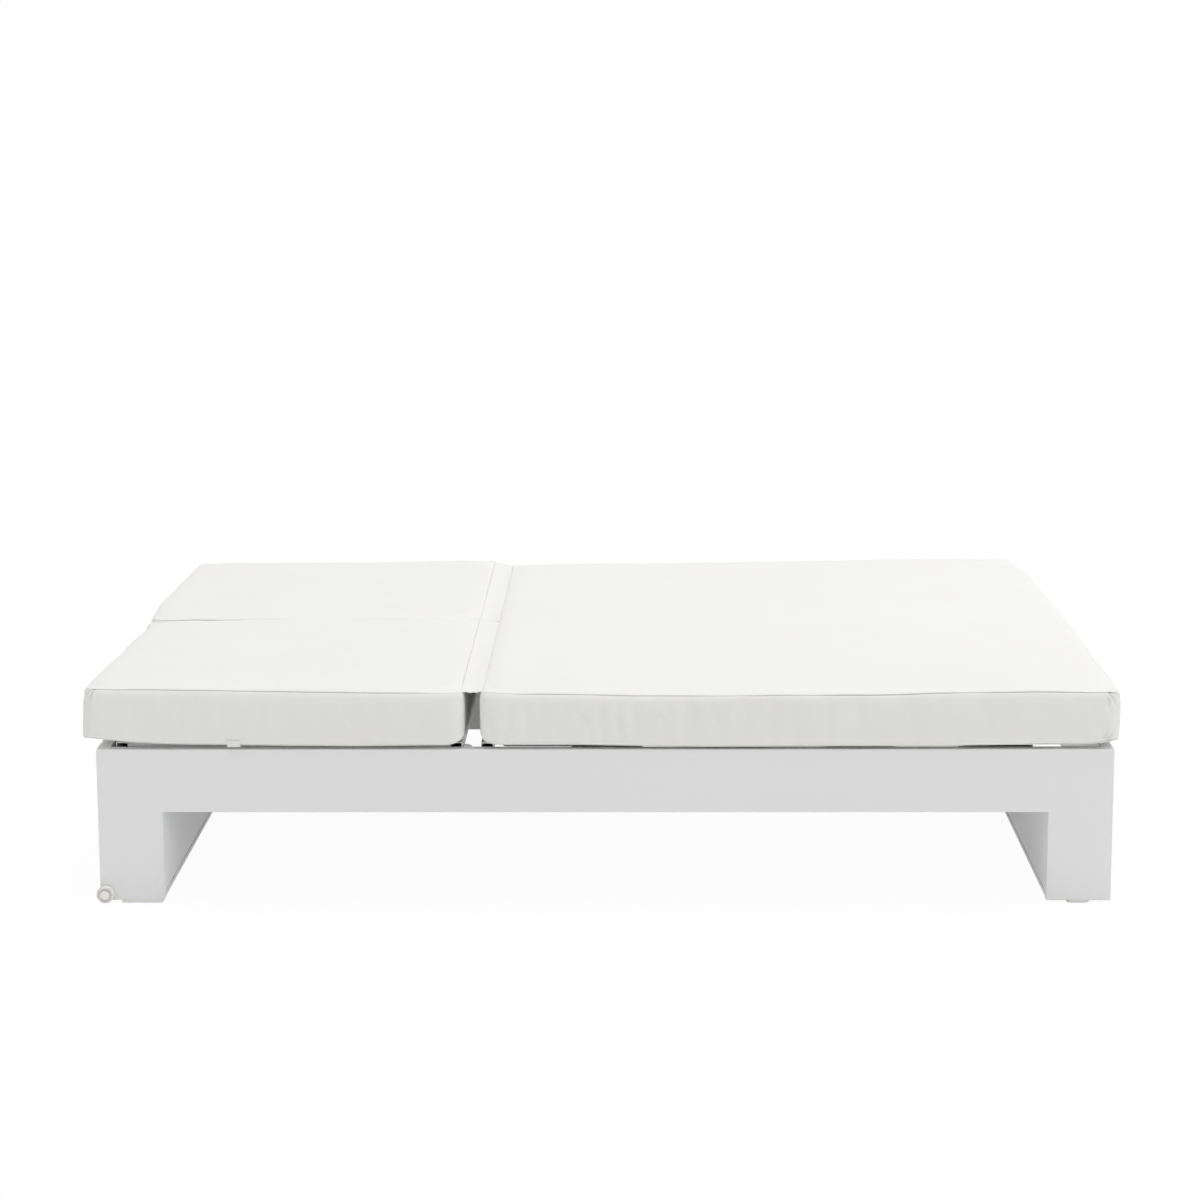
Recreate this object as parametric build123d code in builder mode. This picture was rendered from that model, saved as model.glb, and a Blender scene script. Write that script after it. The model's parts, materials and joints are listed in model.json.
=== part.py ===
from build123d import *
from math import cos, radians
import os

# Double chaise lounger: a low welded frame of flat plank tube, slatted decks, two lifting backrests with
# prop bails, and three boxed cushions joined by fabric flaps.
# Millimetres. X runs from the head end to the foot end, Y from the near long side to the far one, Z is up
# from the floor. The origin is on the floor, under the middle of the whole lounger.

# Frame of plank tube
frame_length = 2000
frame_width = 1500
plank_height = 127
plank_thickness = 25
plank_wall = 2
plank_edge = 1
corner_radius = 3
frame_top = 312

# Feet
foot_height = 6
plug_plate = 2
plug_lip = 6
plug_fit = 0.2
pad_length = 81
pad_inset = 4
pad_edge = 1.5
glide_length = 45
glide_width = 23

# Leg boards
board_thickness = 20
board_floor_gap = 8
hem_height = 10
hem_groove = 2.5
hem_depth = 1.5

# Deck
deck_rise = 8
slat_thickness = 20
slat_width = 143
slat_wall = 2
slat_edge = 2
slat_place_shares = (0.187, 0.394, 0.603, 0.83)
cross_tube_gap = 16
cross_tube_width = 25
ledge_width = 20
ledge_depth = 23
ledge_wall = 3
screw_radius = 2.5
screw_head_radius = 5
screw_head_height = 1.8
screw_point = 6
screw_clearance = 0.1
screw_inset_y = 12

# Backrest panels
hinge_x = 730
panel_end_gap = 10
panel_hinge_gap = 10
panel_tube = 25
panel_wall = 2
panel_edge = 1.5
panel_slat_thickness = 8
panel_slat_width = 110
panel_slat_count = 3
rest_ledge_width = 34
rest_ledge_depth = 30

# Hinges
pin_radius = 4
pin_clearance = 0.05
pin_head_radius = 7
pin_head_height = 3
lug_radius = 11
lug_thickness = 5
plate_thickness = 4
plate_drop = 62
joint_gap = 0.5

# Prop bails and notched racks
prop_foot_inset = 110
prop_rod_radius = 6
prop_bend_radius = 26
prop_eye_wall = 1.5
prop_eye_length = 10
prop_side_gap = 1
rack_thickness = 5
rack_height = 34
rack_inset = 70
rack_run_out = 24
rack_ride_gap = 0.5
notch_angles = (15, 25, 35, 45, 55)
notch_clearance = 2
notch_depth = 11
notch_lean = 6
rack_bar_size = 25
rack_bar_wall = 2

# Wheels
wheel_radius = 17.5
wheel_width = 12
wheel_edge = 3
wheel_axis_x = 11
wheel_floor_gap = 1.9
wheel_washer = 1
bolt_radius = 4
bolt_clearance = 0.05
bolt_head_radius = 9
bolt_head_height = 3.5
bolt_depth = 16
wheel_rim = 4.5
wheel_dish_depth = 2

# Cushions
back_overhang = 28
seat_overhang = 14
side_overhang = 8
cushion_gap = 18
seat_cushion_lap = 5
centre_split = 2
cushion_thickness = 110
cushion_corner = 26
bottom_seam_draw = 13
top_seam_draw = 6
crown_height = 10
crown_run = 90
border_shares = ((0, 1, 0), (0.11, 0.23, 0), (0.5, 0, 0), (0.91, 0, 0.42), (1, 0, 1))
crown_shares = ((0, 0), (0.5, 0.155), (0.85, 0.467), (1, 1))

# Flaps and straps
flap_lap = 0.5
flap_thickness = 1.2
flap_sag = 3
flap_end_inset = 10
flap_lift = 0.6
strap_x = 270
strap_width = 28
strap_thickness = 1.6
strap_length = 22
strap_drop = 4
strap_draw = 2.3

# Worked out from the sizes above
head_x = -(frame_length + seat_overhang - back_overhang) / 2
foot_x = head_x + frame_length
half_width = frame_width / 2
inner_half = half_width - plank_thickness
beam_half = plank_thickness / 2
rail_bottom = frame_top - plank_height
deck_top = frame_top + deck_rise
deck_underside = deck_top - slat_thickness
prop_eye_radius = prop_rod_radius + prop_eye_wall
hinge_height = deck_top - panel_slat_thickness - prop_eye_radius - joint_gap
cross_tube_near = hinge_x + lug_radius + cross_tube_gap
slats_start = cross_tube_near + cross_tube_width
slats_run = frame_length - plank_thickness - slats_start
slat_centres = [slats_start + share * slats_run for share in slat_place_shares]
leg_bottom = foot_height + plug_plate
hinge_line = head_x + hinge_x
panel_head = head_x + plank_thickness + panel_end_gap
panel_foot = hinge_line - panel_hinge_gap
panel_underside = deck_top - panel_tube
panel_outer = inner_half - plate_thickness - joint_gap
panel_inner = beam_half + plate_thickness + joint_gap
panel_middle = (panel_outer + panel_inner) / 2
prop_reach = (hinge_x - prop_foot_inset) / 2
prop_pivot_x = hinge_line - prop_reach
prop_foot_x = hinge_line - 2 * prop_reach
rack_top = hinge_height - prop_rod_radius - rack_ride_gap
rack_bottom = rack_top - rack_height
notch_width = 2 * prop_rod_radius + notch_clearance
wheel_axis_height = wheel_radius + wheel_floor_gap
cushion_top = deck_top + cushion_thickness
seat_cushion_start = cross_tube_near - seat_cushion_lap
back_cushion_end = seat_cushion_start - cushion_gap
flap_width = cushion_gap + 2 * (top_seam_draw + flap_lap)

sides = (("near", -1), ("far", 1))


def save(piece, label):
    piece.label = label
    export_step(piece, f"parts/{label}.step")


def side_portal(side):
    # Rail and two legs of one long side as one hollow outline, open only at the leg bottoms
    outer_plane = -half_width if side > 0 else inner_half
    core_depth = plank_thickness - 2 * plank_wall
    core_height = plank_height - 2 * plank_wall
    leg_height = rail_bottom - leg_bottom
    middle = head_x + frame_length / 2
    leg_xs = (head_x + plank_height / 2, foot_x - plank_height / 2)
    with BuildPart() as portal:
        with BuildSketch(Plane.XZ.offset(outer_plane)):
            with Locations((middle, frame_top - plank_height / 2)):
                Rectangle(frame_length, plank_height)
            with Locations(*[(x, rail_bottom) for x in leg_xs]):
                Rectangle(plank_height, leg_height, align=(Align.CENTER, Align.MAX))
        extrude(amount=plank_thickness)
        top_corners = portal.edges().filter_by(Axis.Y).group_by(Axis.Z)[-1]
        fillet(top_corners, radius=corner_radius)
        rims = portal.faces().filter_by(Axis.Y).edges()
        floor_rims = rims.group_by(Axis.Z)[0]
        fillet([edge for edge in rims if edge not in floor_rims], radius=plank_edge)
        with BuildSketch(Plane.XZ.offset(outer_plane + plank_wall)):
            with Locations((middle, frame_top - plank_height / 2)):
                Rectangle(frame_length - 2 * plank_wall, core_height)
            with Locations(*[(x, rail_bottom + plank_wall) for x in leg_xs]):
                Rectangle(core_height, leg_height + plank_wall, align=(Align.CENTER, Align.MAX))
        extrude(amount=core_depth, mode=Mode.SUBTRACT)
    return portal.part


def side_rail(portal):
    with BuildPart() as rail:
        add(portal)
        split(bisect_by=Plane.XY.offset(rail_bottom), keep=Keep.TOP)
    return rail.part


def leg(portal, end):
    with BuildPart() as post:
        add(portal)
        split(bisect_by=Plane.XY.offset(rail_bottom), keep=Keep.BOTTOM)
        split(bisect_by=Plane.YZ.offset(head_x + frame_length / 2), keep=end)
    return post.part


def head_leg(portal, side):
    # The wheel's bolt goes through the outer wall
    post = leg(portal, Keep.BOTTOM)
    with BuildPart() as drilled:
        add(post)
        with BuildSketch(Plane.XZ.offset(-side * half_width)):
            with Locations((head_x + wheel_axis_x, wheel_axis_height)):
                Circle(bolt_radius + bolt_clearance)
        extrude(amount=side * plank_wall, mode=Mode.SUBTRACT)
    return drilled.part


def tube_along_y(x_low, width, z_low, height, wall, edge, y_low, y_high):
    # Rectangular tube that runs along Y
    with BuildPart() as tube:
        with BuildSketch(Plane.XZ.offset(-y_high)):
            with Locations((x_low + width / 2, z_low + height / 2)):
                Rectangle(width, height)
        extrude(amount=y_high - y_low)
        fillet(tube.edges().filter_by(Axis.Y), radius=edge)
        with BuildSketch(Plane.XZ.offset(-y_high)):
            with Locations((x_low + width / 2, z_low + height / 2)):
                Rectangle(width - 2 * wall, height - 2 * wall)
        extrude(amount=y_high - y_low, mode=Mode.SUBTRACT)
    return tube.part


def tube_along_x(y_low, width, z_low, height, wall, edge, x_low, x_high):
    # Rectangular tube that runs along X
    with BuildPart() as tube:
        with BuildSketch(Plane.YZ.offset(x_low)):
            with Locations((y_low + width / 2, z_low + height / 2)):
                Rectangle(width, height)
        extrude(amount=x_high - x_low)
        fillet(tube.edges().filter_by(Axis.X), radius=edge)
        with BuildSketch(Plane.YZ.offset(x_low)):
            with Locations((y_low + width / 2, z_low + height / 2)):
                Rectangle(width - 2 * wall, height - 2 * wall)
        extrude(amount=x_high - x_low, mode=Mode.SUBTRACT)
    return tube.part


def end_rail(x_low):
    return tube_along_y(
        x_low, plank_thickness, rail_bottom, plank_height, plank_wall, plank_edge, -inner_half, inner_half
    )


def leg_board(x_low, inward):
    # Full-depth board between the legs of one end, with a groove above its bottom hem
    board_height = rail_bottom - board_floor_gap
    board = tube_along_y(
        x_low,
        board_thickness,
        board_floor_gap,
        board_height,
        plank_wall,
        plank_edge,
        -inner_half,
        inner_half,
    )
    inner_face = x_low + board_thickness if inward > 0 else x_low
    with BuildPart() as hemmed:
        add(board)
        with BuildSketch(Plane.XZ.offset(-inner_half)):
            with Locations((inner_face, board_floor_gap + hem_height + hem_groove / 2)):
                Rectangle(2 * hem_depth, hem_groove)
        extrude(amount=2 * inner_half, mode=Mode.SUBTRACT)
    return hemmed.part


def leg_plugs():
    # Flush plate and inner lip that close each leg tube
    lip_length = plank_height - 2 * plank_wall - 2 * plug_fit
    lip_depth = plank_thickness - 2 * plank_wall - 2 * plug_fit
    spots = [
        (x, y)
        for x in (head_x + plank_height / 2, foot_x - plank_height / 2)
        for y in (-half_width + beam_half, half_width - beam_half)
    ]
    with BuildPart() as plugs:
        with BuildSketch(Plane.XY.offset(foot_height)):
            with Locations(*spots):
                Rectangle(plank_height - 2 * plug_fit, plank_thickness - 2 * plug_fit)
        extrude(amount=plug_plate)
        with BuildSketch(Plane.XY.offset(leg_bottom)):
            with Locations(*spots):
                Rectangle(lip_length, lip_depth)
        extrude(amount=plug_lip)
    return plugs.part


def leg_pads():
    # Long flat pads under the inner part of the head legs
    pad_x = head_x + plank_height - pad_inset - pad_length / 2
    with BuildPart() as pads:
        with BuildSketch():
            with Locations((pad_x, -half_width + beam_half), (pad_x, half_width - beam_half)):
                RectangleRounded(pad_length, plank_thickness - 2 * plug_fit, pad_edge)
        extrude(amount=foot_height)
        chamfer(pads.edges().group_by(Axis.Z)[0], length=plank_edge)
    return pads.part


def foot_glides():
    # Slotted glides under the middle of the foot legs
    glide_x = foot_x - plank_height / 2
    with BuildPart() as glides:
        with BuildSketch():
            with Locations((glide_x, -half_width + beam_half), (glide_x, half_width - beam_half)):
                SlotOverall(glide_length, glide_width)
        extrude(amount=foot_height)
        chamfer(glides.edges().group_by(Axis.Z)[0], length=pad_edge)
    return glides.part


def centre_beam():
    return tube_along_x(
        -beam_half,
        plank_thickness,
        rail_bottom,
        deck_underside - rail_bottom,
        plank_wall,
        plank_edge,
        head_x + plank_thickness,
        foot_x - plank_thickness,
    )


def seat_screw_spots():
    # One screw in the middle of each end of every slat and of the cross tube
    lines = [cross_tube_near + cross_tube_width / 2] + slat_centres
    rows = (-inner_half + screw_inset_y, inner_half - screw_inset_y)
    return [(head_x + line, y) for line in lines for y in rows]


def drilled_for_screws(piece):
    # Holes in the underside only, so the deck's top stays whole
    with BuildPart() as drilled:
        add(piece)
        box = piece.bounding_box()
        spots = [spot for spot in seat_screw_spots() if box.min.X < spot[0] < box.max.X]
        with Locations(Plane.XY.offset(deck_underside + slat_wall)):
            with Locations(*spots):
                Hole(radius=screw_radius + screw_clearance, depth=slat_wall)
    return drilled.part


def seat_slat(centre):
    slat = tube_along_y(
        head_x + centre - slat_width / 2,
        slat_width,
        deck_underside,
        slat_thickness,
        slat_wall,
        slat_edge,
        -inner_half,
        inner_half,
    )
    return drilled_for_screws(slat)


def seat_cross_tube():
    tube = tube_along_y(
        head_x + cross_tube_near,
        cross_tube_width,
        deck_underside,
        slat_thickness,
        slat_wall,
        slat_edge,
        -inner_half,
        inner_half,
    )
    return drilled_for_screws(tube)


def seat_ledge(side):
    # Angle on the rail's inner face that carries the ends of the slats
    wall_y = side * inner_half
    with BuildPart() as ledge:
        with BuildSketch(Plane.YZ.offset(head_x + cross_tube_near)):
            with BuildLine():
                Polyline(
                    (wall_y, deck_underside),
                    (wall_y - side * ledge_width, deck_underside),
                    (wall_y - side * ledge_width, deck_underside - ledge_wall),
                    (wall_y - side * ledge_wall, deck_underside - ledge_wall),
                    (wall_y - side * ledge_wall, deck_underside - ledge_depth),
                    (wall_y, deck_underside - ledge_depth),
                    close=True,
                )
            make_face()
        extrude(amount=frame_length - plank_thickness - cross_tube_near)
        spots = [spot for spot in seat_screw_spots() if spot[1] * side > 0]
        with Locations(Plane.XY.offset(deck_underside)):
            with Locations(*spots):
                Hole(radius=screw_radius + screw_clearance, depth=ledge_wall)
    return ledge.part


def slat_screws():
    # Hexagon heads against the ledges' undersides, shanks up through the slats' lower walls
    with BuildPart() as screws:
        with BuildSketch(Plane.XY.offset(deck_underside - ledge_wall)):
            with Locations(*seat_screw_spots()):
                RegularPolygon(radius=screw_head_radius, side_count=6)
        extrude(amount=-screw_head_height)
        with BuildSketch(Plane.XY.offset(deck_underside - ledge_wall)):
            with Locations(*seat_screw_spots()):
                Circle(screw_radius)
        extrude(amount=ledge_wall + slat_wall + screw_point)
    return screws.part


def rest_ledge(side):
    # Angle on the head end rail that a backrest lies on when it is flat
    wall_x = head_x + plank_thickness
    low_y = side * panel_middle - (panel_outer - panel_inner) / 2
    with BuildPart() as ledge:
        with BuildSketch(Plane.XZ.offset(-low_y)):
            with BuildLine():
                Polyline(
                    (wall_x, panel_underside),
                    (wall_x + rest_ledge_width, panel_underside),
                    (wall_x + rest_ledge_width, panel_underside - ledge_wall),
                    (wall_x + ledge_wall, panel_underside - ledge_wall),
                    (wall_x + ledge_wall, panel_underside - rest_ledge_depth),
                    (wall_x, panel_underside - rest_ledge_depth),
                    close=True,
                )
            make_face()
        extrude(amount=-(panel_outer - panel_inner))
    return ledge.part


def hinge_plates():
    # Round-topped plates that hold the backrest pins: on both rails and on both faces of the centre beam
    walls = (
        (-inner_half, 1),
        (-beam_half, -1),
        (beam_half, 1),
        (inner_half, -1),
    )
    with BuildPart() as plates:
        for wall_y, towards in walls:
            with BuildSketch(Plane.XZ.offset(-wall_y)):
                with Locations((hinge_line, hinge_height)):
                    Circle(lug_radius)
                    Rectangle(2 * lug_radius, plate_drop, align=(Align.CENTER, Align.MAX))
                    Circle(pin_radius + pin_clearance, mode=Mode.SUBTRACT)
            extrude(amount=-towards * plate_thickness)
    return plates.part


def hinge_pins():
    # Headed pins, the head on the lug's free side
    pin_length = plate_thickness + 2 * joint_gap + lug_thickness
    walls = (
        (-inner_half, 1),
        (-beam_half, -1),
        (beam_half, 1),
        (inner_half, -1),
    )
    with BuildPart() as pins:
        for wall_y, towards in walls:
            with BuildSketch(Plane.XZ.offset(-wall_y)):
                with Locations((hinge_line, hinge_height)):
                    Circle(pin_radius)
            extrude(amount=-towards * pin_length)
            with BuildSketch(Plane.XZ.offset(-wall_y - towards * pin_length)):
                with Locations((hinge_line, hinge_height)):
                    Circle(pin_head_radius)
            extrude(amount=-towards * pin_head_height)
    return pins.part


def panel_side_tube(side, outer):
    # Long tube of a backrest panel, outer beside the rail and inner beside the centre beam
    y_edge = panel_outer - panel_tube if outer else panel_inner
    y_low = y_edge if side > 0 else -y_edge - panel_tube
    return tube_along_x(
        y_low,
        panel_tube,
        panel_underside,
        panel_tube,
        panel_wall,
        panel_edge,
        panel_head + panel_tube,
        panel_foot - panel_tube,
    )


def panel_head_tube(side):
    y_low, y_high = sorted((side * panel_inner, side * panel_outer))
    return tube_along_y(
        panel_head, panel_tube, panel_underside, panel_tube, panel_wall, panel_edge, y_low, y_high
    )


def panel_hinge_tube(side):
    # Cross tube at the hinge end with the two lugs that turn on the pins
    y_low, y_high = sorted((side * panel_inner, side * panel_outer))
    tube = tube_along_y(
        panel_foot - panel_tube,
        panel_tube,
        panel_underside,
        panel_tube,
        panel_wall,
        panel_edge,
        y_low,
        y_high,
    )
    with BuildPart() as hinged:
        add(tube)
        for lug_y in (y_low, y_high - lug_thickness):
            with BuildSketch(Plane.XZ.offset(-lug_y)):
                with Locations((hinge_line, hinge_height)):
                    Circle(lug_radius)
                    with Locations((-panel_hinge_gap, 0)):
                        Rectangle(panel_hinge_gap, 2 * lug_radius, align=(Align.MIN, Align.CENTER))
                    Circle(pin_radius + pin_clearance, mode=Mode.SUBTRACT)
            extrude(amount=-lug_thickness)
    return hinged.part


def panel_slat(side, index):
    # Thin slats let in between the long tubes, flush with their tops
    inside_low = panel_head + panel_tube
    inside_high = panel_foot - panel_tube
    pitch = (inside_high - inside_low) / panel_slat_count
    centre_x = inside_low + pitch * (index + 0.5)
    slat_length = panel_outer - panel_inner - 2 * panel_tube
    with BuildPart() as slat:
        with BuildSketch(Plane.XY.offset(deck_top - panel_slat_thickness)):
            with Locations((centre_x, side * panel_middle)):
                Rectangle(panel_slat_width, slat_length)
        extrude(amount=panel_slat_thickness)
        fillet(slat.edges().filter_by(Axis.Y), radius=panel_edge)
    return slat.part


def prop_bail(side):
    # Bent rod: two arms with an eye each, joined by the bar that drops into the notches
    arm_y = panel_outer - panel_tube - prop_side_gap - prop_rod_radius
    arm_y_inner = panel_inner + panel_tube + prop_side_gap + prop_rod_radius
    y_low, y_high = sorted((side * arm_y, side * arm_y_inner))
    with BuildPart() as bail:
        with BuildLine() as route:
            FilletPolyline(
                (prop_pivot_x, y_low, hinge_height),
                (prop_foot_x, y_low, hinge_height),
                (prop_foot_x, y_high, hinge_height),
                (prop_pivot_x, y_high, hinge_height),
                radius=prop_bend_radius,
            )
        with BuildSketch(Plane(origin=route.line @ 0, z_dir=route.line % 0)):
            Circle(prop_rod_radius)
        sweep()
        for eye_y in (y_low, y_high):
            with Locations((prop_pivot_x, eye_y, hinge_height)):
                Cylinder(prop_eye_radius, prop_eye_length, rotation=(90, 0, 0))
        for eye_y in (y_low, y_high):
            with Locations((prop_pivot_x, eye_y, hinge_height)):
                Cylinder(
                    pin_radius + pin_clearance,
                    2 * prop_eye_length,
                    rotation=(90, 0, 0),
                    mode=Mode.SUBTRACT,
                )
    return bail.part


def prop_pins(side):
    # Pins that stand out of the long tubes' inner faces into the eyes
    outer_wall = panel_outer - panel_tube
    inner_wall = panel_inner + panel_tube
    reach = prop_side_gap + prop_rod_radius + prop_eye_length / 2
    y_starts = (side * outer_wall, side * inner_wall)
    directions = (-side, side)
    with BuildPart() as pins:
        for start, towards in zip(y_starts, directions):
            with BuildSketch(Plane.XZ.offset(-start)):
                with Locations((prop_pivot_x, hinge_height)):
                    Circle(pin_radius)
            extrude(amount=-towards * reach)
    return pins.part


def rack_ys(side):
    return (side * (panel_outer - rack_inset), side * (panel_inner + rack_inset))


def notched_rack(y_middle):
    # Upright plate with leaning notches, one under the bar's place at each backrest angle
    rack_low = prop_foot_x - rack_run_out
    rack_high = hinge_line - 2 * prop_reach * cos(radians(notch_angles[-1])) + rack_run_out
    with BuildPart() as rack:
        with BuildSketch(Plane.XZ.offset(-y_middle - rack_thickness / 2)):
            with Locations(((rack_low + rack_high) / 2, rack_top)):
                Rectangle(rack_high - rack_low, rack_height, align=(Align.CENTER, Align.MAX))
            for angle in notch_angles:
                notch_x = hinge_line - 2 * prop_reach * cos(radians(angle))
                with BuildLine():
                    Polyline(
                        (notch_x - notch_width / 2 - notch_lean, rack_top),
                        (notch_x - notch_width / 2, rack_top - notch_depth),
                        (notch_x + notch_width / 2, rack_top - notch_depth),
                        (notch_x + notch_width / 2, rack_top),
                        close=True,
                    )
                make_face(mode=Mode.SUBTRACT)
        extrude(amount=rack_thickness)
    return rack.part


def rack_bar(side):
    # Cross tube under the racks, from the rail to the centre beam
    y_low, y_high = sorted((side * beam_half, side * inner_half))
    rack_low = prop_foot_x - rack_run_out
    rack_high = hinge_line - 2 * prop_reach * cos(radians(notch_angles[-1])) + rack_run_out
    middle = (rack_low + rack_high) / 2
    return tube_along_y(
        middle - rack_bar_size / 2,
        rack_bar_size,
        rack_bottom - rack_bar_size,
        rack_bar_size,
        rack_bar_wall,
        panel_edge,
        y_low,
        y_high,
    )


def wheel(side):
    # Small roller on the outer face of a head leg, dished around its bolt
    inner_face = half_width + wheel_washer
    with BuildPart() as roller:
        with BuildSketch(Plane.XZ.offset(-side * inner_face)):
            with Locations((head_x + wheel_axis_x, wheel_axis_height)):
                Circle(wheel_radius)
                Circle(bolt_radius + bolt_clearance, mode=Mode.SUBTRACT)
        extrude(amount=-side * wheel_width)
        tread = roller.edges().filter_by(GeomType.CIRCLE).sort_by(SortBy.RADIUS)[-2:]
        chamfer(tread, length=wheel_edge)
        with BuildSketch(Plane.XZ.offset(-side * (inner_face + wheel_width))):
            with Locations((head_x + wheel_axis_x, wheel_axis_height)):
                Circle(wheel_radius - wheel_rim)
        extrude(amount=side * wheel_dish_depth, mode=Mode.SUBTRACT)
    return roller.part


def wheel_bolts():
    # Shoulder bolts with a round cap and a washer against the leg
    bolt_x = head_x + wheel_axis_x
    head_start = half_width + wheel_washer + wheel_width - wheel_dish_depth + joint_gap
    with BuildPart() as bolts:
        for side_name, side in sides:
            with BuildSketch(Plane.XZ.offset(-side * (half_width - bolt_depth))):
                with Locations((bolt_x, wheel_axis_height)):
                    Circle(bolt_radius)
            extrude(amount=-side * (head_start - half_width + bolt_depth))
            with BuildSketch(Plane.XZ.offset(-side * half_width)):
                with Locations((bolt_x, wheel_axis_height)):
                    Circle(bolt_head_radius)
            extrude(amount=-side * (wheel_washer - joint_gap))
            with BuildSketch(Plane.XZ.offset(-side * head_start)):
                with Locations((bolt_x, wheel_axis_height)):
                    Circle(bolt_head_radius)
            extrude(amount=-side * bolt_head_height)
    return bolts.part


def cushion(x_low, x_high, y_low, y_high):
    # Boxed cushion: a border drawn in at both seams, and a top panel that crowns above the upper seam
    length = x_high - x_low
    depth = y_high - y_low
    middle = ((x_low + x_high) / 2, (y_low + y_high) / 2)
    with BuildPart() as pad:
        for rise_share, bottom_share, top_share in border_shares:
            draw = bottom_share * bottom_seam_draw + top_share * top_seam_draw
            with BuildSketch(Plane.XY.offset(deck_top + rise_share * cushion_thickness)):
                with Locations(middle):
                    RectangleRounded(length - 2 * draw, depth - 2 * draw, cushion_corner)
        loft(ruled=True)
        for rise_share, run_share in crown_shares:
            draw = top_seam_draw + run_share * crown_run
            with BuildSketch(Plane.XY.offset(cushion_top + rise_share * crown_height)):
                with Locations(middle):
                    RectangleRounded(length - 2 * draw, depth - 2 * draw, cushion_corner)
        loft(ruled=True)
    return pad.part


def back_cushion(side):
    y_low, y_high = sorted((side * centre_split / 2, side * (half_width + side_overhang)))
    return cushion(head_x - back_overhang, head_x + back_cushion_end, y_low, y_high)


def seat_cushion():
    width = half_width + side_overhang
    return cushion(head_x + seat_cushion_start, foot_x + seat_overhang, -width, width)


def flap(side):
    # Strip of cover fabric that hinges a back cushion to the seat cushion along their top seams
    middle = head_x + (back_cushion_end + seat_cushion_start) / 2
    seam = cushion_top + flap_lift
    y_low, y_high = sorted((side * flap_end_inset, side * (half_width - flap_end_inset)))
    with BuildPart() as strip:
        with BuildSketch(Plane.XZ.offset(-y_high)):
            with BuildLine():
                ThreePointArc(
                    (middle - flap_width / 2, seam),
                    (middle, seam - flap_sag),
                    (middle + flap_width / 2, seam),
                )
                Line((middle + flap_width / 2, seam), (middle + flap_width / 2, seam + flap_thickness))
                ThreePointArc(
                    (middle + flap_width / 2, seam + flap_thickness),
                    (middle, seam - flap_sag + flap_thickness),
                    (middle - flap_width / 2, seam + flap_thickness),
                )
                Line((middle - flap_width / 2, seam + flap_thickness), (middle - flap_width / 2, seam))
            make_face()
        extrude(amount=y_high - y_low)
    return strip.part


def strap(side):
    # Folded tape tab that hangs from the border of a back cushion
    outer = half_width + side_overhang - strap_draw
    with BuildPart() as tab:
        with BuildSketch(Plane.XY.offset(deck_top - strap_drop)):
            with Locations((head_x + strap_x, side * (outer + strap_thickness / 2))):
                Rectangle(strap_width, strap_thickness)
        extrude(amount=strap_length)
        fillet(tab.edges().filter_by(Axis.Y), radius=strap_thickness)
    return tab.part


os.makedirs("parts", exist_ok=True)

for side_name, side in sides:
    portal = side_portal(side)
    save(side_rail(portal), f"{side_name}_side_rail")
    save(head_leg(portal, side), f"{side_name}_head_leg")
    save(leg(portal, Keep.TOP), f"{side_name}_foot_leg")
    save(seat_ledge(side), f"{side_name}_seat_ledge")
    save(rest_ledge(side), f"{side_name}_backrest_ledge")
    save(panel_side_tube(side, True), f"{side_name}_backrest_outer_tube")
    save(panel_side_tube(side, False), f"{side_name}_backrest_inner_tube")
    save(panel_head_tube(side), f"{side_name}_backrest_head_tube")
    save(panel_hinge_tube(side), f"{side_name}_backrest_hinge_tube")
    for index in range(panel_slat_count):
        save(panel_slat(side, index), f"{side_name}_backrest_slat_{index + 1}")
    save(prop_bail(side), f"{side_name}_prop_bail")
    save(prop_pins(side), f"{side_name}_prop_pins")
    outer_rack_y, inner_rack_y = rack_ys(side)
    save(notched_rack(outer_rack_y), f"{side_name}_outer_rack")
    save(notched_rack(inner_rack_y), f"{side_name}_inner_rack")
    save(rack_bar(side), f"{side_name}_rack_bar")
    save(wheel(side), f"{side_name}_wheel")
    save(back_cushion(side), f"{side_name}_back_cushion")
    save(flap(side), f"{side_name}_cushion_flap")
    save(strap(side), f"{side_name}_cushion_strap")

save(end_rail(head_x), "head_end_rail")
save(end_rail(foot_x - plank_thickness), "foot_end_rail")
save(leg_board(head_x + plank_height - board_thickness, 1), "head_leg_board")
save(leg_board(foot_x - plank_height, -1), "foot_leg_board")
save(centre_beam(), "centre_beam")
save(seat_cross_tube(), "seat_cross_tube")
for number, centre in enumerate(slat_centres, start=1):
    save(seat_slat(centre), f"seat_slat_{number}")
save(slat_screws(), "slat_screws")
save(hinge_plates(), "hinge_plates")
save(hinge_pins(), "hinge_pins")
save(leg_plugs(), "leg_plugs")
save(leg_pads(), "leg_pads")
save(foot_glides(), "foot_glides")
save(wheel_bolts(), "wheel_bolts")
save(seat_cushion(), "seat_cushion")
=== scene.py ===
import json
import math

import bpy
import numpy as np
from mathutils import Matrix, Vector, kdtree, noise


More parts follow.
